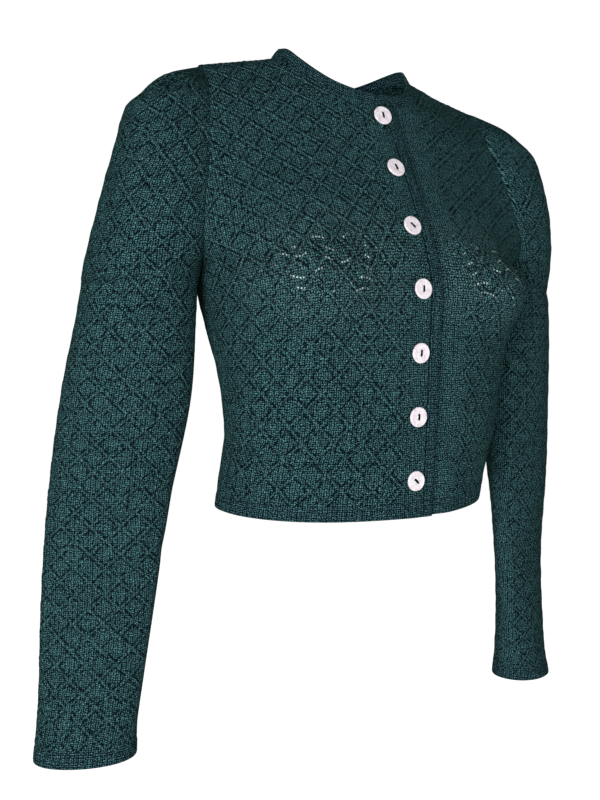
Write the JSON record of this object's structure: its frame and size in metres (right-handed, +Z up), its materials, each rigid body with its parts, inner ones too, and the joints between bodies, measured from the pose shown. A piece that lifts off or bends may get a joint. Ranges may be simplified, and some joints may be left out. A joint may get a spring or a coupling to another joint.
{
  "type": "wool cardigan",
  "caption": "Cropped fine-knit wool cardigan with a round neck, long sleeves and a buttoned front, filled out as worn with no wearer, open at neck, hem and cuffs.",
  "frame": {"origin": "middle of the neck opening, level with the tops of the shoulders, where the wearer's neck and shoulders carry the garment", "axes": "+Z up along the worn garment, front faces -Y, the wearer's left is +X"},
  "size_m": [0.6078, 0.235, 0.6676],
  "materials": {
    "wool_lozenge": "fine-gauge dark green wool with raised travelling stitches in a lozenge pattern",
    "wool_rib": "fine ribbed dark green wool borders",
    "pearl_button": "polished pinkish white mother-of-pearl"
  },
  "bodies": {
    "root": {"back": "wool_lozenge", "front_right": "wool_lozenge", "front_left": "wool_lozenge", "sleeve_right": "wool_lozenge", "sleeve_left": "wool_lozenge", "neckband": "wool_rib", "front_band_right": "wool_rib", "front_band_left": "wool_rib", "hem_band_back": "wool_rib", "hem_band_front_right": "wool_rib", "hem_band_front_left": "wool_rib", "cuff_band_right": "wool_rib", "cuff_band_left": "wool_rib", "button_1": "pearl_button", "button_2": "pearl_button", "button_3": "pearl_button", "button_4": "pearl_button", "button_5": "pearl_button", "button_6": "pearl_button", "button_7": "pearl_button"}
  },
  "joints": []
}
